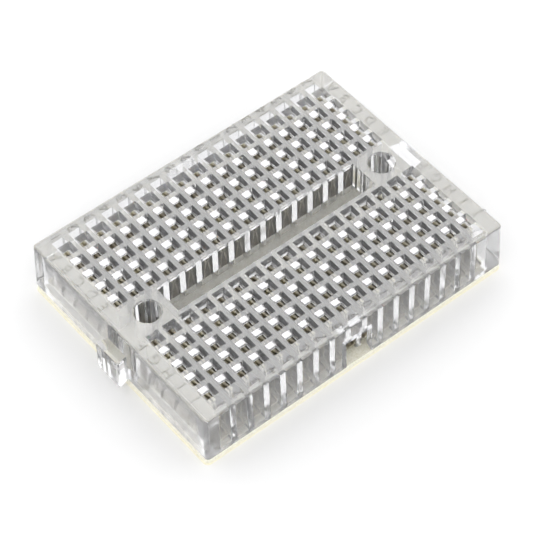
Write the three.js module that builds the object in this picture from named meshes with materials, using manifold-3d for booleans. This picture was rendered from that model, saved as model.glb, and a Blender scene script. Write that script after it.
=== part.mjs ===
// Solderless breadboard: a small clear block of 17 columns, each with two rows of five contacts.
// Units are millimetres. Z is up. The origin is the middle of the underside, on the release liner.
// +X runs from column 1 to column 17, and +Y from row J to row A.

import * as THREE from 'three';
import { ConvexGeometry } from 'three/addons/geometries/ConvexGeometry.js';
import { mergeGeometries, mergeVertices } from 'three/addons/utils/BufferGeometryUtils.js';
import Module from 'manifold-3d';

const wasm = await Module();
wasm.setup();

// ---------------------------------------------------------------- driving dimensions

const PITCH = 2.54;                 // spacing of contacts, 0.1 inch
const COLUMNS = 17;
const CONTACTS_PER_CLIP = 5;        // rows A-E and rows F-J
const ROW_GAP = 3 * PITCH;          // from row E to row F, the width a chip package straddles

const LINER_THICKNESS = 0.1;
const FOAM_THICKNESS = 0.9;
const HOUSING_HEIGHT = 7.5;

const HOUSING_TOP_SIZE = [46.8, 34.8];
const HOUSING_BOTTOM_SIZE = [47.2, 35.2];   // moulding draft widens the block downwards
const CORNER_RADIUS = 0.6;
const TOP_EDGE_RADIUS = 0.35;
const PAD_SIZE = [47.4, 35.2];
const PAD_CORNER_RADIUS = 0.7;

const FUNNEL_MOUTH = 1.88;          // square lead-in at the top face
const THROAT_SIZE = 0.9;            // square hole that a wire passes
const FUNNEL_DEPTH = 0.82;
const TOP_PLATE_THICKNESS = 0.92;

const CAVITY_WIDTH = 1.7;           // slot that holds one clip, open underneath
const CAVITY_INNER_END = 2.75;      // distance of its inner end from the centre line
const CAVITY_OUTER_END = 16.3;

const CHANNEL_HALF_LENGTH = 15.6;
const CHANNEL_HALF_WIDTH = 2.2;
const CHANNEL_DEPTH = 4.0;

const SCREW_HOLE_X = 18.6;
const SCREW_HOLE_RADIUS = 1.7;
const SCREW_RIM_CHAMFER = 0.15;

const TAB_ROOT_WIDTH = 3.9;         // dovetail that joins one board to the next
const TAB_OUTER_WIDTH = 4.6;
const TAB_REACH = 1.5;              // how far it stands out of the housing's foot
const TAB_HEIGHT = 4.5;
const NOTCH_CLEARANCE = 0.1;        // each side of the tab that enters the notch

const CLIP_SHEET = 0.2;
const CLIP_BASE_LIFT = 0.7;         // gap from the foam to the underside of the clip
const CLIP_BASE_HALF_WIDTH = 0.75;
const CLIP_WALL_HEIGHT = 0.6;
const CLIP_TOP = 6.2;               // top of the fingers above the foam
const CLIP_PINCH_HALF_GAP = 0.08;
const CLIP_INNER_END = 2.85;
const CLIP_OUTER_END = 15.9;
const FINGER_WIDTH = 2.0;

// ---------------------------------------------------------------- derived levels

const FOAM_TOP = LINER_THICKNESS + FOAM_THICKNESS;
const TOP = FOAM_TOP + HOUSING_HEIGHT;
const CUT_PAST = 0.2;               // how far a cutter runs past the face that it opens
const CORNER_STEPS = 5;
const HOLE_STEPS = 24;

// ---------------------------------------------------------------- materials

const clearPlastic = () => new THREE.MeshStandardMaterial({
  color: 0xd9dadb, roughness: 0.16, metalness: 0, transparent: true, opacity: 0.4,
});
const springMetal = () => new THREE.MeshStandardMaterial({
  color: 0xa9a795, roughness: 0.34, metalness: 0.9,
});
const foamTape = () => new THREE.MeshStandardMaterial({
  color: 0xe6e3cf, roughness: 0.9, metalness: 0,
});
const linerPaper = () => new THREE.MeshStandardMaterial({
  color: 0xe9e4cc, roughness: 0.6, metalness: 0,
});

// ---------------------------------------------------------------- solids

/** Turns a closed three.js geometry into a solid that can be joined and cut. */
function solidOf(geometry) {
  const bare = geometry.clone();
  bare.deleteAttribute('normal');
  bare.deleteAttribute('uv');
  const welded = mergeVertices(bare, 1e-5);
  return new wasm.Manifold(new wasm.Mesh({
    numProp: 3,
    vertProperties: new Float32Array(welded.attributes.position.array),
    triVerts: new Uint32Array(welded.index.array),
  }));
}

/** Turns a solid back into a geometry with flat-shaded faces. */
function geometryOf(solid) {
  const mesh = solid.getMesh();
  const indexed = new THREE.BufferGeometry();
  indexed.setAttribute('position', new THREE.BufferAttribute(mesh.vertProperties, 3));
  indexed.setIndex(new THREE.BufferAttribute(mesh.triVerts, 1));
  const geometry = indexed.toNonIndexed();
  geometry.computeVertexNormals();
  return geometry;
}

/** A box from its low and high corners. */
function boxBetween(low, high) {
  const size = high.map((value, axis) => value - low[axis]);
  const box = new THREE.BoxGeometry(...size);
  return box.translate(...low.map((value, axis) => value + size[axis] / 2));
}

/** Points round a rectangle with rounded corners, at one height. */
function roundedRing(width, depth, radius, z) {
  const points = [];
  for (let corner = 0; corner < 4; corner += 1) {
    const signX = corner === 0 || corner === 3 ? 1 : -1;
    const signY = corner < 2 ? 1 : -1;
    for (let step = 0; step <= CORNER_STEPS; step += 1) {
      const angle = (corner + step / CORNER_STEPS) * Math.PI / 2;
      const x = signX * (width / 2 - radius) + radius * Math.cos(angle);
      const y = signY * (depth / 2 - radius) + radius * Math.sin(angle);
      points.push(new THREE.Vector3(x, y, z));
    }
  }
  return points;
}

/** A flat sheet with rounded corners, from its underside up. */
function roundedSheet(width, depth, radius, bottom, thickness) {
  const outline = roundedRing(width, depth, radius, 0).map((p) => new THREE.Vector2(p.x, p.y));
  const sheet = new THREE.ExtrudeGeometry(new THREE.Shape(outline), {
    depth: thickness, bevelEnabled: false,
  });
  return sheet.translate(0, 0, bottom);
}

/** A square frustum that widens upwards, standing on z = bottom. */
function squareFunnel(x, y, bottom, height, lowSide, highSide) {
  const toRadius = Math.SQRT1_2;
  const frustum = new THREE.CylinderGeometry(highSide * toRadius, lowSide * toRadius, height, 4);
  frustum.rotateY(Math.PI / 4);
  frustum.rotateX(Math.PI / 2);
  return frustum.translate(x, y, bottom + height / 2);
}

const columnX = (column) => (column - (COLUMNS - 1) / 2) * PITCH;
const contactY = (contact) => ROW_GAP / 2 + contact * PITCH;

/** Runs a builder for each column in each half of the board: side is +1 for A-E, -1 for F-J. */
function forEachClipPlace(build) {
  const made = [];
  for (const side of [1, -1]) {
    for (let column = 0; column < COLUMNS; column += 1) made.push(build(columnX(column), side));
  }
  return made;
}

/** Runs a builder for each of the 170 contacts. */
function forEachContact(build) {
  return forEachClipPlace((x, side) => {
    const made = [];
    for (let contact = 0; contact < CONTACTS_PER_CLIP; contact += 1) {
      made.push(build(x, side * contactY(contact)));
    }
    return made;
  }).flat();
}

// ---------------------------------------------------------------- housing

function housingBlock() {
  const [topX, topY] = HOUSING_TOP_SIZE;
  const [bottomX, bottomY] = HOUSING_BOTTOM_SIZE;
  const rings = [roundedRing(bottomX, bottomY, CORNER_RADIUS, FOAM_TOP)];
  for (const degrees of [0, 45, 90]) {
    const angle = THREE.MathUtils.degToRad(degrees);
    const inset = TOP_EDGE_RADIUS * (1 - Math.cos(angle));
    const z = TOP - TOP_EDGE_RADIUS * (1 - Math.sin(angle));
    rings.push(roundedRing(topX - 2 * inset, topY - 2 * inset, CORNER_RADIUS - inset, z));
  }
  return solidOf(new ConvexGeometry(rings.flat()));
}

/** A dovetail prism along Z that narrows towards the housing, pointing out along +X. */
function dovetail(rootX, outerX, rootWidth, outerWidth, bottom, height) {
  const outline = new THREE.Shape([
    new THREE.Vector2(rootX, -rootWidth / 2),
    new THREE.Vector2(outerX, -outerWidth / 2),
    new THREE.Vector2(outerX, outerWidth / 2),
    new THREE.Vector2(rootX, rootWidth / 2),
  ]);
  const prism = new THREE.ExtrudeGeometry(outline, { depth: height, bevelEnabled: false });
  return prism.translate(0, 0, bottom);
}

/** A tab on the side that lies at the given turn about Z, half the block's size from the middle. */
function lockingTab(halfSize, turn) {
  const embedded = 0.6;
  const slope = (TAB_OUTER_WIDTH - TAB_ROOT_WIDTH) / TAB_REACH;
  const rootWidth = TAB_ROOT_WIDTH - embedded * slope;
  const outerX = halfSize + TAB_REACH;
  return dovetail(halfSize - embedded, outerX, rootWidth, TAB_OUTER_WIDTH, FOAM_TOP, TAB_HEIGHT)
    .rotateZ(turn);
}

/** The matching notch's cutter: it widens inwards and is open underneath. */
function lockingNotch(halfSize, turn) {
  const depth = TAB_REACH + NOTCH_CLEARANCE;
  const slope = (TAB_OUTER_WIDTH - TAB_ROOT_WIDTH) / TAB_REACH;
  const innerWidth = TAB_OUTER_WIDTH + 2 * NOTCH_CLEARANCE;
  const mouthWidth = innerWidth - (depth + CUT_PAST) * slope;
  const height = TAB_HEIGHT + NOTCH_CLEARANCE + CUT_PAST;
  return dovetail(halfSize - depth, halfSize + CUT_PAST, innerWidth, mouthWidth,
    FOAM_TOP - CUT_PAST, height).rotateZ(turn);
}

function screwHoleCutter(x) {
  const shaft = new THREE.CylinderGeometry(SCREW_HOLE_RADIUS, SCREW_HOLE_RADIUS,
    HOUSING_HEIGHT + 2 * CUT_PAST, HOLE_STEPS);
  shaft.rotateX(Math.PI / 2);
  return shaft.translate(x, 0, (FOAM_TOP + TOP) / 2);
}

function screwRimCutter(x) {
  const rim = new THREE.CylinderGeometry(SCREW_HOLE_RADIUS + SCREW_RIM_CHAMFER + CUT_PAST,
    SCREW_HOLE_RADIUS, SCREW_RIM_CHAMFER + CUT_PAST, HOLE_STEPS);
  rim.rotateX(Math.PI / 2);
  return rim.translate(x, 0, TOP + (CUT_PAST - SCREW_RIM_CHAMFER) / 2);
}

function clipCavity(x, side) {
  const ends = [side * CAVITY_INNER_END, side * CAVITY_OUTER_END].sort((a, b) => a - b);
  return boxBetween([x - CAVITY_WIDTH / 2, ends[0], FOAM_TOP - CUT_PAST],
    [x + CAVITY_WIDTH / 2, ends[1], TOP - TOP_PLATE_THICKNESS]);
}

function contactThroat(x, y) {
  const half = THROAT_SIZE / 2;
  const overlap = 0.05;
  return boxBetween([x - half, y - half, TOP - TOP_PLATE_THICKNESS - overlap],
    [x + half, y + half, TOP - FUNNEL_DEPTH + overlap]);
}

function contactFunnel(x, y) {
  const widening = (FUNNEL_MOUTH - THROAT_SIZE) / FUNNEL_DEPTH;
  return squareFunnel(x, y, TOP - FUNNEL_DEPTH, FUNNEL_DEPTH + CUT_PAST,
    THROAT_SIZE, FUNNEL_MOUTH + CUT_PAST * widening);
}

function buildHousing() {
  const [halfX, halfY] = HOUSING_BOTTOM_SIZE.map((size) => size / 2);
  const channel = boxBetween([-CHANNEL_HALF_LENGTH, -CHANNEL_HALF_WIDTH, TOP - CHANNEL_DEPTH],
    [CHANNEL_HALF_LENGTH, CHANNEL_HALF_WIDTH, TOP + CUT_PAST]);
  const screwHoles = [-SCREW_HOLE_X, SCREW_HOLE_X];
  const cutters = [
    [channel, lockingNotch(halfX, 0), lockingNotch(halfY, -Math.PI / 2)],
    forEachClipPlace(clipCavity),
    forEachContact(contactThroat),
    forEachContact(contactFunnel),
    screwHoles.map(screwHoleCutter),
    screwHoles.map(screwRimCutter),
  ];
  const tabs = [lockingTab(halfX, Math.PI), lockingTab(halfY, Math.PI / 2)];
  const body = tabs.reduce((solid, tab) => solid.add(solidOf(tab)), housingBlock());
  const plain = (geometry) => (geometry.index ? geometry.toNonIndexed() : geometry);
  return geometryOf(cutters.reduce(
    (solid, group) => solid.subtract(solidOf(mergeGeometries(group.map(plain)))), body));
}

// ---------------------------------------------------------------- contact clip

/** The strip's section: a flat base, two upright walls, and leaves that lean in to the pinch. */
function clipSection() {
  const base = FOAM_TOP + CLIP_BASE_LIFT;
  const shoulder = base + CLIP_WALL_HEIGHT;
  const top = FOAM_TOP + CLIP_TOP;
  const right = [
    [CLIP_BASE_HALF_WIDTH, base],
    [CLIP_BASE_HALF_WIDTH, shoulder],
    [CLIP_PINCH_HALF_GAP + CLIP_SHEET, top],
    [CLIP_PINCH_HALF_GAP, top],
    [CLIP_BASE_HALF_WIDTH - CLIP_SHEET, shoulder],
    [CLIP_BASE_HALF_WIDTH - CLIP_SHEET, base + CLIP_SHEET],
  ];
  const left = right.map(([x, z]) => [-x, z]).reverse();
  return new THREE.Shape([...right, ...left].map(([x, z]) => new THREE.Vector2(x, z)));
}

function buildClip() {
  const strip = new THREE.ExtrudeGeometry(clipSection(), {
    depth: CLIP_OUTER_END - CLIP_INNER_END, bevelEnabled: false,
  });
  strip.rotateX(Math.PI / 2);
  strip.translate(0, CLIP_OUTER_END, 0);
  const shoulder = FOAM_TOP + CLIP_BASE_LIFT + CLIP_WALL_HEIGHT;
  const slits = [];
  for (let contact = 0; contact < CONTACTS_PER_CLIP; contact += 1) {
    const from = contactY(contact) + FINGER_WIDTH / 2;
    const isLast = contact === CONTACTS_PER_CLIP - 1;
    const to = isLast ? CLIP_OUTER_END + CUT_PAST : contactY(contact + 1) - FINGER_WIDTH / 2;
    slits.push(boxBetween([-CAVITY_WIDTH, from, shoulder], [CAVITY_WIDTH, to, TOP]));
  }
  return geometryOf(solidOf(strip).subtract(solidOf(mergeGeometries(slits))));
}

// ---------------------------------------------------------------- assembly

const breadboard = new THREE.Group();

function addPart(name, geometry, material, parent = breadboard) {
  const part = new THREE.Mesh(geometry, material);
  part.name = name;
  parent.add(part);
  return part;
}

addPart('housing', buildHousing(), clearPlastic());

const clipGeometry = buildClip();
for (const [rows, turn] of [['a_e', 0], ['f_j', Math.PI]]) {
  const half = new THREE.Group();
  half.rotation.z = turn;
  breadboard.add(half);
  for (let column = 0; column < COLUMNS; column += 1) {
    const label = String(column + 1).padStart(2, '0');
    const clip = addPart(`contact_clip_${rows}_${label}`, clipGeometry, springMetal(), half);
    clip.position.x = columnX(column) * Math.cos(turn);
  }
}

addPart('adhesive_foam_pad',
  roundedSheet(...PAD_SIZE, PAD_CORNER_RADIUS, LINER_THICKNESS, FOAM_THICKNESS), foamTape());
addPart('release_liner',
  roundedSheet(...PAD_SIZE, PAD_CORNER_RADIUS, 0, LINER_THICKNESS), linerPaper());

export default breadboard;
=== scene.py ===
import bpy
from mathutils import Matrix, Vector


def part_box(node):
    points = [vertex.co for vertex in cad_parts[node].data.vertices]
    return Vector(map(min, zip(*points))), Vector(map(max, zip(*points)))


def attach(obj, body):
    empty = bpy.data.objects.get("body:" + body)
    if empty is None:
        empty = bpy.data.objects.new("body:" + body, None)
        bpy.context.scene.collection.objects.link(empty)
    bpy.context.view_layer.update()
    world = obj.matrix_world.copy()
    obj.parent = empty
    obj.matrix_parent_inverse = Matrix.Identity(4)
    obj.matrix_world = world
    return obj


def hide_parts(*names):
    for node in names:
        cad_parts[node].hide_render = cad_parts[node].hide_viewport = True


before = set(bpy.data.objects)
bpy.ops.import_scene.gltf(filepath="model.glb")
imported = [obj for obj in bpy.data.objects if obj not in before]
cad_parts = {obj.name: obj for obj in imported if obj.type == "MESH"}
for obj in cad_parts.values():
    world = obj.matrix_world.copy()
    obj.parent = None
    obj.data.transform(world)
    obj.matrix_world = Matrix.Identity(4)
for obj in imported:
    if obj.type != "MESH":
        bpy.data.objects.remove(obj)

"""A clear solderless breadboard: moulded housing, 34 spring clips, foam tape and release liner.

Sizes in the classes are millimetres in the block's own frame: +X runs from column 1 to column 17,
+Y from row J to row A, and +Z up from the underside of the liner. Meshes are made in metres.
"""

import logging
import math
from dataclasses import dataclass, field
from enum import Enum
from typing import Iterable, Sequence

import bmesh
import bpy
from mathutils import Matrix, Vector

Pair = tuple[float, float]
Point = tuple[float, float, float]
Colour = tuple[float, float, float]
Ring = list[Point]

MM = 0.001
SQUARE_ON = 0.9999  # smallest part of a unit normal that counts as square to an axis
QUARTER_TURN = math.pi / 2
CAPITAL_SHARE = 0.7  # height of a capital over the size of its font
BODY = "root"

logging.basicConfig(level=logging.INFO, format="%(levelname)s %(message)s")
log = logging.getLogger("breadboard")


class Side(Enum):
    """The half of the block that a clip sits in."""

    A_TO_E = 1
    F_TO_J = -1

    @property
    def node_part(self) -> str:
        """The part of a clip's node name that tells its half."""
        return "a_e" if self is Side.A_TO_E else "f_j"

    @property
    def letters(self) -> str:
        """Row letters of this half, from the centre channel outwards."""
        return "EDCBA" if self is Side.A_TO_E else "FGHIJ"


class Cut(Enum):
    """What a boolean step does with its tool."""

    ADD = "UNION"
    TAKE = "DIFFERENCE"


# ---------------------------------------------------------------- mesh helpers


def new_object(name: str, data: bpy.types.ID) -> bpy.types.Object:
    """Links a new object.

    Args:
        name: Name of the object.
        data: Mesh, curve or camera that it carries.

    Returns:
        The linked object.
    """
    made = bpy.data.objects.new(name, data)
    bpy.context.scene.collection.objects.link(made)
    return made


def mesh_from(name: str, work: bmesh.types.BMesh) -> bpy.types.Mesh:
    """Writes a bmesh in millimetres to a mesh in metres, with its faces pointing out.

    Args:
        name: Name of the mesh.
        work: The bmesh, which is freed.

    Returns:
        The new mesh.
    """
    bmesh.ops.recalc_face_normals(work, faces=work.faces)
    work.transform(Matrix.Scale(MM, 4))
    mesh = bpy.data.meshes.new(name)
    work.to_mesh(mesh)
    work.free()
    return mesh


def add_loft(work: bmesh.types.BMesh, rings: Sequence[Ring]) -> None:
    """Adds a closed body that runs through rings of equal point count.

    Args:
        work: The bmesh that receives the body.
        rings: Rings from one end to the other. The first and last are capped.
    """
    rows = [[work.verts.new(point) for point in ring] for ring in rings]
    count = len(rows[0])
    for low, high in zip(rows, rows[1:]):
        for i in range(count):
            j = (i + 1) % count
            work.faces.new((low[i], low[j], high[j], high[i]))
    work.faces.new(list(reversed(rows[0])))
    work.faces.new(rows[-1])


def rounded_ring(half: Pair, radius: float, z: float, steps: int = 6,
                 centre: Pair = (0.0, 0.0)) -> Ring:
    """Points round a rectangle with round corners.

    Args:
        half: Half the width and half the depth.
        radius: Corner radius.
        z: Height of the ring.
        steps: Steps in each corner.
        centre: Middle of the rectangle.

    Returns:
        The ring, turning left.
    """
    points = []
    for corner, (sx, sy) in enumerate(((1, 1), (-1, 1), (-1, -1), (1, -1))):
        for step in range(steps + 1):
            angle = (corner + step / steps) * QUARTER_TURN
            x = centre[0] + sx * (half[0] - radius) + radius * math.cos(angle)
            y = centre[1] + sy * (half[1] - radius) + radius * math.sin(angle)
            points.append((x, y, z))
    return points


def square_ring(centre: Pair, half: float, z: float, nick: float = 0.04) -> Ring:
    """A square ring whose corners are nicked off, as a mould's electrode leaves them.

    Args:
        centre: Middle of the square.
        half: Half its side.
        z: Height of the ring.
        nick: Length taken off at each corner.

    Returns:
        Eight points, turning left.
    """
    points = []
    for sx, sy, first in ((1, 1, True), (-1, 1, False), (-1, -1, True), (1, -1, False)):
        along_x = (centre[0] + sx * (half - nick), centre[1] + sy * half, z)
        along_y = (centre[0] + sx * half, centre[1] + sy * (half - nick), z)
        points += [along_y, along_x] if first else [along_x, along_y]
    return points


def circle_ring(centre: Pair, radius: float, z: float, steps: int = 72) -> Ring:
    """A round ring.

    Args:
        centre: Middle of the ring.
        radius: Its radius.
        z: Its height.
        steps: Points round it.

    Returns:
        The ring, turning left.
    """
    turn = math.tau / steps
    return [(centre[0] + radius * math.cos(i * turn), centre[1] + radius * math.sin(i * turn), z)
            for i in range(steps)]


def curve_points(start: Pair, pull: Pair, end: Pair, steps: int) -> list[Pair]:
    """Points along a curve that leaves and reaches its ends in line with a third point.

    Args:
        start: First point.
        pull: The point that draws the curve towards itself.
        end: Last point.
        steps: Steps along the curve.

    Returns:
        The points, with both ends.
    """
    points = []
    for step in range(steps + 1):
        t = step / steps
        a, b, c = (1 - t) ** 2, 2 * t * (1 - t), t * t
        points.append((a * start[0] + b * pull[0] + c * end[0],
                       a * start[1] + b * pull[1] + c * end[1]))
    return points


def prism_rings(outline: Sequence[Pair], bottom: float, top: float,
                turn: float = 0.0) -> list[Ring]:
    """Two rings of one outline, turned about Z.

    Args:
        outline: Corner points seen from above, turning left.
        bottom: Lower height.
        top: Upper height.
        turn: Turn about Z in radians.

    Returns:
        The lower and the upper ring.
    """
    c, s = math.cos(turn), math.sin(turn)
    flat = [(x * c - y * s, x * s + y * c) for x, y in outline]
    return [[(x, y, z) for x, y in flat] for z in (bottom, top)]


def apply_boolean(target: bpy.types.Object, tool: bmesh.types.BMesh, cut: Cut) -> None:
    """Joins a closed tool to a closed body, or takes it away, and keeps the result as the mesh.

    Args:
        target: The body, with its mesh in metres.
        tool: The tool in millimetres, which is freed.
        cut: Whether the tool is added or taken.
    """
    helper = new_object("tool", mesh_from("tool", tool))
    step = target.modifiers.new(cut.value, "BOOLEAN")
    step.object = helper
    step.operation = cut.value
    step.solver = "MANIFOLD"
    graph = bpy.context.evaluated_depsgraph_get()
    result = bpy.data.meshes.new_from_object(target.evaluated_get(graph))
    if not result.polygons:
        raise RuntimeError(f"{cut.value} left nothing of {target.name}")
    target.modifiers.clear()
    used = target.data
    target.data = result
    bpy.data.meshes.remove(used)
    spent = helper.data
    bpy.data.objects.remove(helper)
    bpy.data.meshes.remove(spent)


def shade(mesh: bpy.types.Mesh, sharp_degrees: float) -> None:
    """Smooths a mesh's curved faces, and keeps faces square to an axis and sharp edges crisp.

    Args:
        mesh: The mesh.
        sharp_degrees: Edges that turn by more stay sharp.
    """
    mesh.shade_smooth()
    mesh.set_sharp_from_angle(angle=math.radians(sharp_degrees))
    for face in mesh.polygons:
        if max(abs(part) for part in face.normal) > SQUARE_ON:
            face.use_smooth = False


def install(piece: bpy.types.Object, material: bpy.types.Material, slot: str, *nodes: str) -> None:
    """Dresses a finished piece and hands it to the frame in place of its CAD nodes.

    Args:
        piece: The piece, in place.
        material: Its finish.
        slot: The record's material slot that the finish belongs to. It is not used.
        nodes: CAD nodes that it stands for.
    """
    piece.data.materials.clear()
    piece.data.materials.append(material)
    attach(piece, BODY)
    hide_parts(*nodes)
    log.info("%s: %d faces for %s", piece.name, len(piece.data.polygons), ", ".join(nodes))


# ---------------------------------------------------------------- finishes


class NodeSketch:
    """Short hand for a material's node tree."""

    def __init__(self, name: str) -> None:
        """Starts a material whose tree holds only a Principled shader and the output."""
        self.material = bpy.data.materials.new(name)
        self.material.use_nodes = True
        self.tree = self.material.node_tree
        self.shader = self.tree.nodes["Principled BSDF"]

    def node(self, kind: str, **settings: object) -> bpy.types.Node:
        """Adds a node.

        Args:
            kind: The node's type name.
            **settings: Attributes, or default values of inputs by name with spaces as underscores.

        Returns:
            The node.
        """
        made = self.tree.nodes.new(kind)
        for key, value in settings.items():
            if hasattr(made, key):
                setattr(made, key, value)
            else:
                made.inputs[key.replace("_", " ")].default_value = value
        return made

    def link(self, source: bpy.types.NodeSocket, target: bpy.types.NodeSocket) -> None:
        """Connects an output to an input."""
        self.tree.links.new(source, target)

    def place(self) -> bpy.types.NodeSocket:
        """The point's place on the piece, in metres."""
        return self.node("ShaderNodeTexCoord").outputs["Object"]

    def axes(self) -> bpy.types.NodeOutputs:
        """The X, Y and Z of the point's place on the piece, in metres."""
        split = self.node("ShaderNodeSeparateXYZ")
        self.link(self.place(), split.inputs["Vector"])
        return split.outputs

    def noise(self, scale: float, detail: float = 2.0, roughness: float = 0.5) -> bpy.types.NodeSocket:
        """Noise over the piece's own coordinates.

        Args:
            scale: Features in each metre.
            detail: Octaves.
            roughness: Weight of the finer octaves.

        Returns:
            The noise's value.
        """
        made = self.node("ShaderNodeTexNoise", Scale=scale, Detail=detail, Roughness=roughness)
        self.link(self.place(), made.inputs["Vector"])
        return made.outputs["Fac"]

    def spread(self, value: bpy.types.NodeSocket, low: float, high: float,
               start: float = 0.3, end: float = 0.7) -> bpy.types.NodeSocket:
        """Maps a value onto a range.

        Args:
            value: The value.
            low: Result at start.
            high: Result at end.
            start: Where the range starts.
            end: Where the range ends.

        Returns:
            The mapped value.
        """
        made = self.node("ShaderNodeMapRange")
        for name, number in (("From Min", start), ("From Max", end), ("To Min", low), ("To Max", high)):
            made.inputs[name].default_value = number
        self.link(value, made.inputs["Value"])
        return made.outputs["Result"]

    def ramp(self, value: bpy.types.NodeSocket,
             stops: Iterable[tuple[float, Colour]]) -> bpy.types.NodeSocket:
        """Colours a value.

        Args:
            value: The value.
            stops: Places from 0 to 1 and their colours.

        Returns:
            The colour.
        """
        made = self.node("ShaderNodeValToRGB")
        marks = made.color_ramp.elements
        for mark, (place, colour) in zip(marks, stops):
            mark.position = place
            mark.color = (*colour, 1.0)
        self.link(value, made.inputs["Fac"])
        return made.outputs["Color"]

    def math(self, operation: str, first: bpy.types.NodeSocket,
             second: bpy.types.NodeSocket) -> bpy.types.NodeSocket:
        """Works out one value from two.

        Args:
            operation: The math node's operation.
            first: First value.
            second: Second value.

        Returns:
            The result.
        """
        made = self.node("ShaderNodeMath", operation=operation)
        self.link(first, made.inputs[0])
        self.link(second, made.inputs[1])
        return made.outputs["Value"]

    def compare(self, value: bpy.types.NodeSocket, target: float,
                reach: float) -> bpy.types.NodeSocket:
        """Tests a value against a number.

        Args:
            value: The value.
            target: The number.
            reach: How far the value may be from it.

        Returns:
            1 where the value is that near, and 0 elsewhere.
        """
        made = self.node("ShaderNodeMath", operation="COMPARE")
        self.link(value, made.inputs[0])
        made.inputs[1].default_value = target
        made.inputs[2].default_value = reach
        return made.outputs["Value"]

    def blend(self, share: bpy.types.NodeSocket, low: bpy.types.NodeSocket,
              high: bpy.types.NodeSocket) -> bpy.types.NodeSocket:
        """Mixes two values.

        Args:
            share: How much of the second value.
            low: First value.
            high: Second value.

        Returns:
            The mixed value.
        """
        made = self.node("ShaderNodeMix")
        self.link(share, made.inputs["Factor"])
        self.link(low, made.inputs["A"])
        self.link(high, made.inputs["B"])
        return made.outputs["Result"]

    def bump(self, height: bpy.types.NodeSocket, distance_mm: float, strength: float = 1.0) -> None:
        """Raises the surface by a height.

        Args:
            height: The height, from 0 to 1.
            distance_mm: What 1 stands for.
            strength: Share of it that shows.
        """
        made = self.node("ShaderNodeBump", Strength=strength, Distance=distance_mm * MM)
        self.link(height, made.inputs["Height"])
        self.link(made.outputs["Normal"], self.shader.inputs["Normal"])


@dataclass(frozen=True)
class ClearPlastic:
    """Clear styrene: polished inside, satin on its outer sides and finely etched on top.

    Polish, satin and etch are ranges of roughness, scales are features in each metre, clarity is the
    share of light that passes, and reach is how near to a level or a side still counts as on it.
    """

    etched_levels: tuple[float, ...]
    outer_half: Pair
    tint: Colour = (0.98, 0.982, 0.994)
    refraction: float = 1.53
    polish: Pair = (0.002, 0.01)
    satin: Pair = (0.04, 0.07)
    etch: Pair = (0.05, 0.10)
    cloud_scale: float = 900.0
    etch_scale: float = 2400.0
    grain_scale: float = 5200.0
    grain_depth: float = 0.006
    polished_clarity: float = 0.94
    etched_clarity: float = 0.75
    reach: float = 0.02

    def material(self) -> bpy.types.Material:
        """Builds the finish."""
        sketch = NodeSketch("clear_plastic")
        shader = sketch.shader
        shader.inputs["Base Color"].default_value = (*self.tint, 1.0)
        shader.inputs["IOR"].default_value = self.refraction
        etched = self.etched(sketch)
        clouds = sketch.noise(self.cloud_scale, 3.0)
        sides = sketch.blend(self.outside(sketch), sketch.spread(clouds, *self.polish),
                             sketch.spread(clouds, *self.satin))
        etch = sketch.spread(sketch.noise(self.etch_scale, 3.0), *self.etch)
        sketch.link(sketch.blend(etched, sides, etch), shader.inputs["Roughness"])
        clarity = sketch.spread(etched, self.polished_clarity, self.etched_clarity, 0.0, 1.0)
        sketch.link(clarity, shader.inputs["Transmission Weight"])
        grain = sketch.math("MULTIPLY", etched, sketch.noise(self.grain_scale, 3.0, 0.6))
        sketch.bump(grain, self.grain_depth, 0.7)
        return sketch.material

    def etched(self, sketch: NodeSketch) -> bpy.types.NodeSocket:
        """Tells the etched faces, level ones at given heights, from the polished ones.

        Args:
            sketch: The material's tree.

        Returns:
            1 on an etched face and 0 elsewhere.
        """
        height = sketch.axes()["Z"]
        found = None
        for level in self.etched_levels:
            near = sketch.compare(height, level * MM, self.reach * MM)
            found = near if found is None else sketch.math("MAXIMUM", found, near)
        return found

    def outside(self, sketch: NodeSketch) -> bpy.types.NodeSocket:
        """Tells the block's outer sides and tabs from the faces inside it.

        Args:
            sketch: The material's tree.

        Returns:
            1 on an outer side and 0 elsewhere.
        """
        axes = sketch.axes()
        past = []
        for axis, half in zip("XY", self.outer_half):
            inside = sketch.compare(axes[axis], 0.0, (half - self.reach) * MM)
            past.append(sketch.spread(inside, 1.0, 0.0, 0.0, 1.0))
        return sketch.math("MAXIMUM", *past)


@dataclass(frozen=True)
class SpringStrip:
    """Plated spring bronze: satin, finely grained, and a little tarnished in patches."""

    bright: Colour = (0.70, 0.67, 0.55)
    dull: Colour = (0.40, 0.36, 0.29)
    bright_roughness: float = 0.24
    dull_roughness: float = 0.40
    patch_edges: Pair = (0.38, 0.62)
    patch_scale: float = 700.0
    grain_scale: float = 6000.0
    grain_depth: float = 0.004

    def material(self) -> bpy.types.Material:
        """Builds the finish."""
        sketch = NodeSketch("spring_metal")
        shader = sketch.shader
        shader.inputs["Metallic"].default_value = 1.0
        patches = sketch.noise(self.patch_scale, 4.0, 0.6)
        sketch.link(sketch.ramp(patches, zip(self.patch_edges, (self.dull, self.bright))),
                    shader.inputs["Base Color"])
        sketch.link(sketch.spread(patches, self.dull_roughness, self.bright_roughness),
                    shader.inputs["Roughness"])
        sketch.bump(sketch.noise(self.grain_scale), self.grain_depth, 0.5)
        return sketch.material


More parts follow.
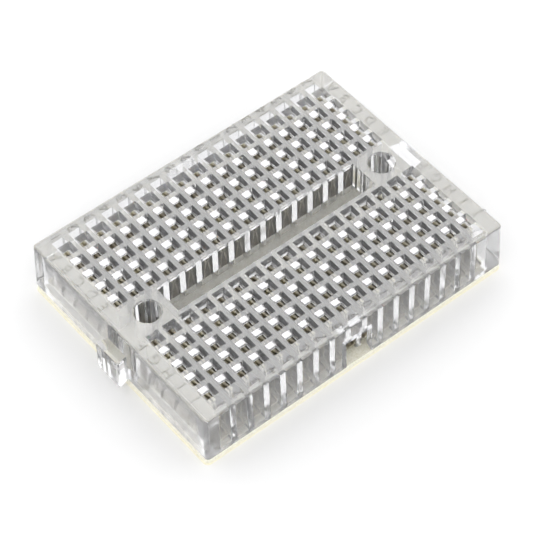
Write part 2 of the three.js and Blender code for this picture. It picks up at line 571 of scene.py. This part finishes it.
@dataclass(frozen=True)
class FoamTape:
    """Cream closed-cell foam: matt, with fine cells along its cut edge."""

    light: Colour = (0.93, 0.91, 0.80)
    dark: Colour = (0.70, 0.67, 0.52)
    roughness: Pair = (0.95, 0.80)
    cell_edges: Pair = (0.3, 0.62)
    cell_scale: float = 5200.0
    cell_depth: float = 0.05
    glow: float = 0.15
    glow_radius: Point = (0.8, 0.7, 0.5)

    def material(self) -> bpy.types.Material:
        """Builds the finish."""
        sketch = NodeSketch("foam_tape")
        shader = sketch.shader
        cells = sketch.noise(self.cell_scale, 3.0, 0.6)
        sketch.link(sketch.ramp(cells, zip(self.cell_edges, (self.dark, self.light))),
                    shader.inputs["Base Color"])
        sketch.link(sketch.spread(cells, *self.roughness), shader.inputs["Roughness"])
        shader.inputs["Subsurface Weight"].default_value = self.glow
        shader.inputs["Subsurface Radius"].default_value = [part * MM for part in self.glow_radius]
        sketch.bump(cells, self.cell_depth, 0.7)
        return sketch.material


@dataclass(frozen=True)
class LinerPaper:
    """Waxed release paper: satin, with faint fibres and a slight yellow cast."""

    pale: Colour = (0.90, 0.87, 0.72)
    fibre: Colour = (0.82, 0.78, 0.60)
    roughness: Pair = (0.55, 0.38)
    fibre_edges: Pair = (0.35, 0.6)
    fibre_scale: float = 2600.0
    fibre_depth: float = 0.012

    def material(self) -> bpy.types.Material:
        """Builds the finish."""
        sketch = NodeSketch("liner_paper")
        shader = sketch.shader
        fibres = sketch.noise(self.fibre_scale, 5.0, 0.65)
        sketch.link(sketch.ramp(fibres, zip(self.fibre_edges, (self.fibre, self.pale))),
                    shader.inputs["Base Color"])
        sketch.link(sketch.spread(fibres, *self.roughness), shader.inputs["Roughness"])
        sketch.bump(fibres, self.fibre_depth, 0.5)
        return sketch.material


# ---------------------------------------------------------------- the block


@dataclass(frozen=True)
class HoleGrid:
    """Where the wire holes stand. The first row is given in pitches from the centre line."""

    pitch: float = 2.54
    columns: int = 17
    per_clip: int = 5
    first_row: float = 1.5

    def column_x(self, column: int) -> float:
        """X of a column, counted from 0."""
        return (column - (self.columns - 1) / 2) * self.pitch

    def contact_y(self, contact: int) -> float:
        """Distance from the centre line of a contact row, counted outwards from 0."""
        return (self.first_row + contact) * self.pitch

    def clip_places(self) -> Iterable[tuple[Side, int, float]]:
        """The half, the column and the X of each clip."""
        for side in Side:
            for column in range(self.columns):
                yield side, column, self.column_x(column)

    def holes(self) -> Iterable[Pair]:
        """X and Y of each wire hole."""
        for side, _, x in self.clip_places():
            for contact in range(self.per_clip):
                yield x, side.value * self.contact_y(contact)


@dataclass(frozen=True)
class Levels:
    """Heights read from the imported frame, in millimetres."""

    liner_top: float
    foam_top: float
    top: float

    @staticmethod
    def from_frame() -> "Levels":
        """Reads the heights of the liner, the foam and the housing."""
        return Levels(liner_top=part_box("release_liner")[1].z / MM,
                      foam_top=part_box("adhesive_foam_pad")[1].z / MM,
                      top=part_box("housing")[1].z / MM)


@dataclass
class Housing:
    """The clear moulding: block, wire holes, clip slots, channel, screw holes, locks and labels.

    A cutting tool runs on by past beyond the face that it cuts, and flares there with the hole's mouth.
    Labels and tabs are set into the block by sunk and tab_sunk, and foot_gap is the air between the
    moulding and the tape.
    """

    grid: HoleGrid
    levels: Levels
    half_top: Pair = (23.4, 17.4)
    half_foot: Pair = (23.6, 17.6)
    corner_radius: float = 0.6
    top_edge_radius: float = 0.35
    foot_edge_radius: float = 0.12
    mouth: float = 1.88
    mouth_rim: float = 0.05
    rim_slope: float = 0.6
    mouth_flare: float = 0.8
    throat: float = 0.9
    funnel_depth: float = 0.82
    plate: float = 0.92
    slot_top_width: float = 1.7
    slot_foot_width: float = 1.74
    slot_corner_radius: float = 0.1
    slot_ends: Pair = (2.75, 16.3)
    channel_half: Pair = (15.6, 2.2)
    channel_depth: float = 4.0
    channel_corner_radius: float = 0.15
    channel_draft: float = 0.03
    channel_rim: float = 0.08
    screw_x: float = 18.6
    screw_radius: float = 1.7
    screw_rim: float = 0.15
    tab_root: float = 3.9
    tab_face: float = 4.6
    tab_reach: float = 1.5
    tab_height: float = 4.5
    tab_nick: float = 0.25
    lock_clearance: float = 0.1
    letter_x: float = 22.25
    number_y: float = 16.4
    label_height: float = 1.5
    label_rise: float = 0.09
    one_sign_width: float = 0.92
    two_sign_width: float = 0.78
    sunk: float = 0.1
    tab_sunk: float = 0.6
    foot_gap: float = 0.03
    past: float = 0.2
    sharp_degrees: float = 24.0

    def build(self) -> bpy.types.Object:
        """Makes the moulding.

        Returns:
            The finished object.
        """
        housing = new_object("clear_housing", mesh_from("clear_housing", self.block()))
        apply_boolean(housing, self.tabs(), Cut.ADD)
        apply_boolean(housing, self.labels(), Cut.ADD)
        for tool in (self.notches(), self.channel(), self.slots(), self.wire_holes(),
                     self.screw_holes()):
            apply_boolean(housing, tool, Cut.TAKE)
        shade(housing.data, self.sharp_degrees)
        return housing

    def etched_levels(self) -> tuple[float, ...]:
        """Heights of the faces that the mould's etching leaves finely matt."""
        return (self.levels.top,)

    def block(self) -> bmesh.types.BMesh:
        """The plain block, with draft, a soft foot edge and a rounded top edge."""
        foot, top = self.levels.foam_top + self.foot_gap, self.levels.top
        rings = []
        for degrees in (0, 45, 90):
            angle = math.radians(degrees)
            inset = self.foot_edge_radius * (1 - math.sin(angle))
            half = (self.half_foot[0] - inset, self.half_foot[1] - inset)
            z = foot + self.foot_edge_radius * (1 - math.cos(angle))
            rings.append(rounded_ring(half, self.corner_radius - inset, z))
        for degrees in range(0, 91, 15):
            angle = math.radians(degrees)
            inset = self.top_edge_radius * (1 - math.cos(angle))
            half = (self.half_top[0] - inset, self.half_top[1] - inset)
            z = top - self.top_edge_radius * (1 - math.sin(angle))
            rings.append(rounded_ring(half, self.corner_radius - inset, z))
        work = bmesh.new()
        add_loft(work, rings)
        self.rule(work)
        return work

    def rule(self, work: bmesh.types.BMesh) -> None:
        """Splits the block's faces along the grid, so that each later cut meets a small face.

        Args:
            work: The plain block.
        """
        pitch = self.grid.pitch
        columns, rows = self.grid.columns, self.grid.per_clip + 1
        lines = [((i - columns / 2) * pitch, (1, 0, 0)) for i in range(columns + 1)]
        lines += [(i * pitch, (0, 1, 0)) for i in range(-rows, rows + 1)]
        for place, across in lines:
            geometry = work.verts[:] + work.edges[:] + work.faces[:]
            bmesh.ops.bisect_plane(work, geom=geometry, plane_no=across,
                                   plane_co=tuple(place * part for part in across))

    def dovetail(self, root_x: float, face_x: float, root: float) -> list[Pair]:
        """Outline of a tab that points along +X and widens to its face, its outer corners nicked.

        Args:
            root_x: X of its root.
            face_x: X of its face.
            root: Width at the root.

        Returns:
            The outline, turning left.
        """
        face, nick = self.tab_face, self.tab_nick
        return [(root_x, -root / 2), (face_x - nick, -face / 2), (face_x, -face / 2 + nick),
                (face_x, face / 2 - nick), (face_x - nick, face / 2), (root_x, root / 2)]

    def tabs(self) -> bmesh.types.BMesh:
        """The two locking tabs, on the column 1 side and on the row A side."""
        work = bmesh.new()
        bottom = self.levels.foam_top + self.foot_gap
        top = self.levels.foam_top + self.tab_height
        slope = (self.tab_face - self.tab_root) / self.tab_reach
        root = self.tab_root - self.tab_sunk * slope
        shrink = 1 - self.tab_nick / self.tab_face
        for half, turn in ((self.half_foot[0], math.pi), (self.half_foot[1], QUARTER_TURN)):
            outline = self.dovetail(half - self.tab_sunk, half + self.tab_reach, root)
            low, high = prism_rings(outline, bottom, top - self.tab_nick, turn)
            centre = (math.cos(turn) * half, math.sin(turn) * half)
            cap = [(centre[0] + (x - centre[0]) * shrink, centre[1] + (y - centre[1]) * shrink, top)
                   for x, y, _ in high]
            add_loft(work, [low, high, cap])
        return work

    def notches(self) -> bmesh.types.BMesh:
        """The two locking notches, on the column 17 side and on the row J side."""
        work = bmesh.new()
        depth = self.tab_reach + self.lock_clearance
        slope = (self.tab_face - self.tab_root) / self.tab_reach
        inner = self.tab_face + 2 * self.lock_clearance
        mouth = inner - (depth + self.past) * slope
        top = self.levels.foam_top + self.tab_height + self.lock_clearance
        for half, turn in ((self.half_foot[0], 0.0), (self.half_foot[1], -QUARTER_TURN)):
            outline = [(half - depth, -inner / 2), (half + self.past, -mouth / 2),
                       (half + self.past, mouth / 2), (half - depth, inner / 2)]
            add_loft(work, prism_rings(outline, self.levels.foam_top - self.past, top, turn))
        return work

    def channel(self) -> bmesh.types.BMesh:
        """The centre channel, with a little draft, a chamfered rim and rounded upright corners."""
        top, rim, draft = self.levels.top, self.channel_rim, self.channel_draft
        half_x, half_y = self.channel_half
        radius = self.channel_corner_radius
        steps = ((top - self.channel_depth, 0.0), (top - rim, draft), (top, draft + rim),
                 (top + self.past, draft + rim + self.past))
        work = bmesh.new()
        add_loft(work, [rounded_ring((half_x + grow, half_y + grow), radius + grow, z, 3)
                        for z, grow in steps])
        return work

    def slots(self) -> bmesh.types.BMesh:
        """The 34 slots that hold the clips, open underneath and a little wider there."""
        steps = ((self.slot_foot_width / 2, self.levels.foam_top - self.past),
                 (self.slot_top_width / 2, self.levels.top - self.plate))
        inner, outer = self.slot_ends
        half_length = (outer - inner) / 2
        work = bmesh.new()
        for side, _, x in self.grid.clip_places():
            centre = (x, side.value * (inner + outer) / 2)
            add_loft(work, [rounded_ring((half, half_length), self.slot_corner_radius, z, 2, centre)
                            for half, z in steps])
        return work

    def wire_holes(self) -> bmesh.types.BMesh:
        """The 170 wire holes: a throat, a square lead-in and a softened mouth."""
        top, rim = self.levels.top, self.mouth_rim
        throat, mouth = self.throat / 2, self.mouth / 2
        steps = ((throat, top - self.plate - self.past), (throat, top - self.funnel_depth),
                 (mouth - rim * self.rim_slope, top - rim), (mouth, top),
                 (mouth + self.past * self.mouth_flare, top + self.past))
        work = bmesh.new()
        for place in self.grid.holes():
            add_loft(work, [square_ring(place, half, z) for half, z in steps])
        return work

    def screw_holes(self) -> bmesh.types.BMesh:
        """The two screw holes, each with a small chamfer at its rim."""
        top, foot = self.levels.top, self.levels.foam_top
        wide = self.screw_radius + self.screw_rim
        steps = ((foot - self.past, self.screw_radius), (top - self.screw_rim, self.screw_radius),
                 (top, wide), (top + self.past, wide + self.past))
        work = bmesh.new()
        for x in (-self.screw_x, self.screw_x):
            add_loft(work, [circle_ring((x, 0.0), radius, z) for z, radius in steps])
        return work

    def labels(self) -> bmesh.types.BMesh:
        """Raised row letters at both short ends and column numbers along both long sides."""
        work = bmesh.new()
        for side in Side:
            for contact, letter in enumerate(side.letters):
                y = side.value * self.grid.contact_y(contact)
                for x in (-self.letter_x, self.letter_x):
                    self.add_label(work, letter, (x, y))
        for column in range(self.grid.columns):
            for y in (-self.number_y, self.number_y):
                self.add_label(work, str(column + 1), (self.grid.column_x(column), y))
        return work

    def add_label(self, work: bmesh.types.BMesh, text: str, place: Pair) -> None:
        """Adds one raised label, turned to read along the columns.

        Args:
            work: The bmesh that receives it, in millimetres.
            text: What it reads.
            place: Its middle.
        """
        curve = bpy.data.curves.new("label", "FONT")
        curve.body = text
        curve.size = self.label_height / CAPITAL_SHARE
        curve.align_x = "CENTER"
        curve.align_y = "CENTER"
        curve.resolution_u = 3
        curve.extrude = (self.label_rise + self.sunk) / 2
        holder = new_object("label", curve)
        graph = bpy.context.evaluated_depsgraph_get()
        mesh = bpy.data.meshes.new_from_object(holder.evaluated_get(graph))
        squeeze = self.two_sign_width if len(text) > 1 else self.one_sign_width
        height = self.levels.top + (self.label_rise - self.sunk) / 2
        mesh.transform(Matrix.Translation((*place, height)) @ Matrix.Rotation(QUARTER_TURN, 4, "Z")
                       @ Matrix.Diagonal((squeeze, 1, 1, 1)))
        part = bmesh.new()
        part.from_mesh(mesh)
        bmesh.ops.remove_doubles(part, verts=part.verts, dist=1e-4)
        bmesh.ops.recalc_face_normals(part, faces=part.faces)
        part.to_mesh(mesh)
        part.free()
        work.from_mesh(mesh)
        bpy.data.objects.remove(holder)
        bpy.data.curves.remove(curve)
        bpy.data.meshes.remove(mesh)


@dataclass
class ContactClip:
    """One folded spring strip: a base, two walls and five pairs of fingers that pinch a wire.

    Heights are from the tape's upper face, except wall_height, which is from the strip's base. Ends
    are the strip's nearest and furthest Y.
    """

    grid: HoleGrid
    levels: Levels
    sheet: float = 0.2
    lift: float = 0.7
    base_half: float = 0.75
    wall_height: float = 0.6
    finger_width: float = 2.0
    pinch_height: float = 5.8
    tip_height: float = 6.18
    pinch_gap: float = 0.04
    tip_flare: float = 0.2
    wire_notch_radius: float = 0.2
    wire_notch_foot: float = 5.2
    ends: Pair = (2.85, 15.9)
    bend: float = 0.3
    bend_steps: int = 5
    bow_rise: float = 1.7
    bow_steps: int = 8
    tip_pull: Pair = (-0.02, 0.22)
    tip_steps: int = 4
    root: float = 0.3
    sharp_degrees: float = 28.0
    mesh: bpy.types.Mesh | None = field(default=None, init=False)

    def base_line(self) -> list[Pair]:
        """Outer line of the strip's section from the middle of its base to the top of one wall."""
        bend = self.bend
        foot = self.levels.foam_top + self.lift
        line = [(0.0, foot)]
        for step in range(self.bend_steps + 1):
            angle = step / self.bend_steps * QUARTER_TURN
            x = self.base_half - bend + bend * math.sin(angle)
            line.append((x, foot + bend - bend * math.cos(angle)))
        line.append((self.base_half, foot + self.wall_height))
        return line

    def finger_line(self) -> list[Pair]:
        """Outer line of one finger from inside the wall, in to the pinch and out at its tip."""
        base = self.levels.foam_top
        shoulder = (self.base_half, base + self.lift + self.wall_height)
        bow = (self.base_half, shoulder[1] + self.bow_rise)
        pinch = (self.pinch_gap + self.sheet, base + self.pinch_height)
        turn = (pinch[0] + self.tip_pull[0], pinch[1] + self.tip_pull[1])
        tip = (pinch[0] + self.tip_flare, base + self.tip_height)
        return ([(shoulder[0], shoulder[1] - self.root)]
                + curve_points(shoulder, bow, pinch, self.bow_steps)
                + curve_points(pinch, turn, tip, self.tip_steps)[1:])

    def thick(self, line: Sequence[Pair]) -> list[Pair]:
        """Offsets a line inwards by the sheet's thickness.

        Args:
            line: Points of the outer face, as X and Z.

        Returns:
            The outer points and then the inner ones in return order.
        """
        inner = []
        for i, (x, z) in enumerate(line):
            before, after = line[max(i - 1, 0)], line[min(i + 1, len(line) - 1)]
            dx, dz = after[0] - before[0], after[1] - before[1]
            length = math.hypot(dx, dz)
            inner.append((x - dz / length * self.sheet, z + dx / length * self.sheet))
        return list(line) + inner[::-1]

    def make_mesh(self) -> bpy.types.Mesh:
        """Makes the clip for a column at X = 0 in the half on the +Y side.

        Returns:
            The mesh, which all clips share.
        """
        start, end = self.ends
        half = self.base_line()
        outer = [(-x, z) for x, z in half[::-1]] + half[1:]
        work = bmesh.new()
        add_loft(work, [[(x, y, z) for x, z in self.thick(outer)] for y in (start, end)])
        clip = new_object("clip", mesh_from("contact_clip", work))
        section = self.thick(self.finger_line())
        for mirror in (1, -1):
            tool = bmesh.new()
            for contact in range(self.grid.per_clip):
                y = self.grid.contact_y(contact)
                low = max(y - self.finger_width / 2, start)
                high = y + self.finger_width / 2
                add_loft(tool, [[(mirror * x, edge, z) for x, z in section]
                                for edge in (low, high)])
            apply_boolean(clip, tool, Cut.ADD)
        apply_boolean(clip, self.wire_notches(), Cut.TAKE)
        mesh = clip.data
        bpy.data.objects.remove(clip)
        shade(mesh, self.sharp_degrees)
        return mesh

    def wire_notches(self) -> bmesh.types.BMesh:
        """The round notches between each pair of finger tips, which centre the wire."""
        foot = self.levels.foam_top + self.wire_notch_foot
        top = self.levels.top
        work = bmesh.new()
        for contact in range(self.grid.per_clip):
            centre = (0.0, self.grid.contact_y(contact))
            add_loft(work, [circle_ring(centre, self.wire_notch_radius, z, 16)
                            for z in (foot, top)])
        return work

    def place(self, side: Side, column: int, x: float) -> bpy.types.Object:
        """Puts one clip in its slot.

        Args:
            side: Half of the block.
            column: Column, counted from 0.
            x: X of the column.

        Returns:
            The clip.
        """
        if self.mesh is None:
            self.mesh = self.make_mesh()
        clip = new_object(f"clip_{side.node_part}_{column + 1:02d}", self.mesh)
        turn = 0.0 if side is Side.A_TO_E else math.pi
        clip.matrix_world = Matrix.Translation((x * MM, 0, 0)) @ Matrix.Rotation(turn, 4, "Z")
        return clip


@dataclass
class FoamPad:
    """The double-sided foam tape, knife-cut a little unevenly.

    The knife's path wanders inwards in waves, each given as its turns round the pad and its share.
    """

    levels: Levels
    half: Pair = (23.68, 17.58)
    corner_radius: float = 0.7
    step_length: float = 0.5
    wander: float = 0.12
    waves: tuple[tuple[int, float], ...] = ((7, 1.0), (17, 0.6), (41, 0.4))
    phase: float = 1.3
    phase_drift: float = 0.8
    bulge: float = 0.05
    sharp_degrees: float = 50.0

    def edge(self, z: float, grow: float, phase: float) -> Ring:
        """The pad's outline at one height, with the knife's wander.

        Args:
            z: Height.
            grow: How far the outline stands out.
            phase: Shifts the wander, so that it changes a little over the thickness.

        Returns:
            The ring.
        """
        half = (self.half[0] + grow, self.half[1] + grow)
        corners = rounded_ring(half, self.corner_radius, z, 6)
        points = []
        for i, here in enumerate(corners):
            there = corners[(i + 1) % len(corners)]
            length = math.dist(here, there)
            count = max(1, round(length / self.step_length))
            for step in range(count):
                t = step / count
                points.append(tuple(a + (b - a) * t for a, b in zip(here, there)))
        wavy = []
        for x, y, height in points:
            angle = math.atan2(y, x)
            wave = sum(share * math.sin(angle * turns + order * phase)
                       for order, (turns, share) in enumerate(self.waves, 1)) / 2
            inward = 1 - self.wander * (0.5 + 0.5 * wave) / max(self.half)
            wavy.append((x * inward, y * inward, height))
        return wavy

    def build(self) -> bpy.types.Object:
        """Makes the pad.

        Returns:
            The finished object.
        """
        low, high = self.levels.liner_top, self.levels.foam_top
        rings = []
        for t in (0.0, 0.12, 0.35, 0.6, 0.85, 1.0):
            swell = self.bulge * (math.sin(t * math.pi) - 1)
            phase = self.phase + self.phase_drift * t
            rings.append(self.edge(low + (high - low) * t, swell, phase))
        work = bmesh.new()
        add_loft(work, rings)
        pad = new_object("foam_tape", mesh_from("foam_tape", work))
        shade(pad.data, self.sharp_degrees)
        return pad


@dataclass
class ReleaseLiner:
    """The waxed paper under the tape, with a knife-cut edge."""

    levels: Levels
    half: Pair = (23.7, 17.6)
    corner_radius: float = 0.7
    edge_softness: float = 0.02
    sharp_degrees: float = 40.0

    def build(self) -> bpy.types.Object:
        """Makes the liner.

        Returns:
            The finished object.
        """
        soft, top = self.edge_softness, self.levels.liner_top
        work = bmesh.new()
        steps = ((0.0, soft), (soft, 0.0), (top - soft, 0.0), (top, soft))
        add_loft(work, [rounded_ring((self.half[0] - inset, self.half[1] - inset),
                                     self.corner_radius - inset, z, 8) for z, inset in steps])
        liner = new_object("liner", mesh_from("liner", work))
        shade(liner.data, self.sharp_degrees)
        return liner


# ---------------------------------------------------------------- studio


@dataclass(frozen=True)
class Studio:
    """Pale floor, soft even light and the camera.

    The camera looks at eye_level over the frame's origin from its azimuth, elevation and distance, then
    moves right and up in its own plane. Sight is the nearest and furthest distance that it sees.
    """

    floor_half: float = 900.0
    floor_colour: Colour = (0.82, 0.82, 0.82)
    floor_roughness: float = 0.9
    azimuth: float = -37.985
    elevation: float = 51.208
    roll: float = -1.390
    distance: float = 278.98
    shift_right: float = -0.1403
    shift_up: float = -3.4404
    eye_level: float = 7.78
    lens: float = 152.24
    sensor: float = 36.0
    sight: Pair = (10.0, 20000.0)
    sky: float = 1.42
    horizon: Colour = (0.75, 0.75, 0.76)
    overhead: Colour = (1.0, 1.0, 1.0)
    overhead_from: float = 0.75

    def camera(self) -> bpy.types.Object:
        """Places the camera.

        Returns:
            The camera.
        """
        a, e, r = (math.radians(v) for v in (self.azimuth, self.elevation, self.roll))
        back = Vector((math.sin(a) * math.cos(e), -math.cos(a) * math.cos(e), math.sin(e)))
        level = Vector((0, 0, 1)).cross(back).normalized()
        rise = back.cross(level)
        right = level * math.cos(r) + rise * math.sin(r)
        up = rise * math.cos(r) - level * math.sin(r)
        data = bpy.data.cameras.new("camera")
        data.lens = self.lens
        data.sensor_width = self.sensor
        data.clip_start, data.clip_end = (reach * MM for reach in self.sight)
        camera = new_object("camera", data)
        place = right * self.shift_right + up * self.shift_up + back * self.distance
        place.z += self.eye_level
        turn = Matrix((right, up, back)).transposed().to_4x4()
        camera.matrix_world = Matrix.Translation(place * MM) @ turn
        bpy.context.scene.camera = camera
        return camera

    def floor(self) -> bpy.types.Object:
        """Lays the pale floor.

        Returns:
            The floor.
        """
        work = bmesh.new()
        half = self.floor_half
        corners = [(-half, -half, 0), (half, -half, 0), (half, half, 0), (-half, half, 0)]
        work.faces.new([work.verts.new(point) for point in corners])
        floor = new_object("floor", mesh_from("floor", work))
        sketch = NodeSketch("pale_floor")
        sketch.shader.inputs["Base Color"].default_value = (*self.floor_colour, 1.0)
        sketch.shader.inputs["Roughness"].default_value = self.floor_roughness
        floor.data.materials.append(sketch.material)
        return floor

    def light(self) -> None:
        """Fills the room with soft white light that dims a little towards the horizon."""
        world = bpy.data.worlds.new("studio")
        world.use_nodes = True
        bpy.context.scene.world = world
        tree = world.node_tree
        backdrop = tree.nodes["Background"]
        place = tree.nodes.new("ShaderNodeTexCoord")
        split = tree.nodes.new("ShaderNodeSeparateXYZ")
        ramp = tree.nodes.new("ShaderNodeValToRGB")
        tree.links.new(place.outputs["Generated"], split.inputs["Vector"])
        tree.links.new(split.outputs["Z"], ramp.inputs["Fac"])
        tree.links.new(ramp.outputs["Color"], backdrop.inputs["Color"])
        low, high = ramp.color_ramp.elements
        low.position, low.color = 0.0, (*self.horizon, 1.0)
        high.position, high.color = self.overhead_from, (*self.overhead, 1.0)
        backdrop.inputs["Strength"].default_value = self.sky

    def exposure(self) -> None:
        """Sets a plain tone curve and lets light pass through all the moulding's walls."""
        scene = bpy.context.scene
        scene.view_settings.view_transform = "Standard"
        scene.view_settings.look = "None"
        scene.cycles.max_bounces = 32
        scene.cycles.transmission_bounces = 32
        scene.cycles.glossy_bounces = 12
        scene.cycles.diffuse_bounces = 6
        scene.cycles.caustics_reflective = True
        scene.cycles.caustics_refractive = True


def main() -> None:
    """Builds the breadboard around its frame and reports each piece."""
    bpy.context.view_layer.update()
    studio = Studio()
    studio.camera()
    studio.floor()
    studio.light()
    studio.exposure()
    grid, levels = HoleGrid(), Levels.from_frame()

    block = Housing(grid, levels)
    plastic = ClearPlastic(block.etched_levels(), block.half_top)
    install(block.build(), plastic.material(), "clear_plastic", "housing")
    strip_finish = SpringStrip().material()
    clips = ContactClip(grid, levels)
    for side, column, x in grid.clip_places():
        clip = clips.place(side, column, x)
        node = f"contact_clip_{side.node_part}_{column + 1:02d}"
        install(clip, strip_finish, "spring_metal", node)
    pad = FoamPad(levels).build()
    install(pad, FoamTape().material(), "foam_tape", "adhesive_foam_pad")
    install(ReleaseLiner(levels).build(), LinerPaper().material(), "liner_paper", "release_liner")


if __name__ == "__main__":
    main()
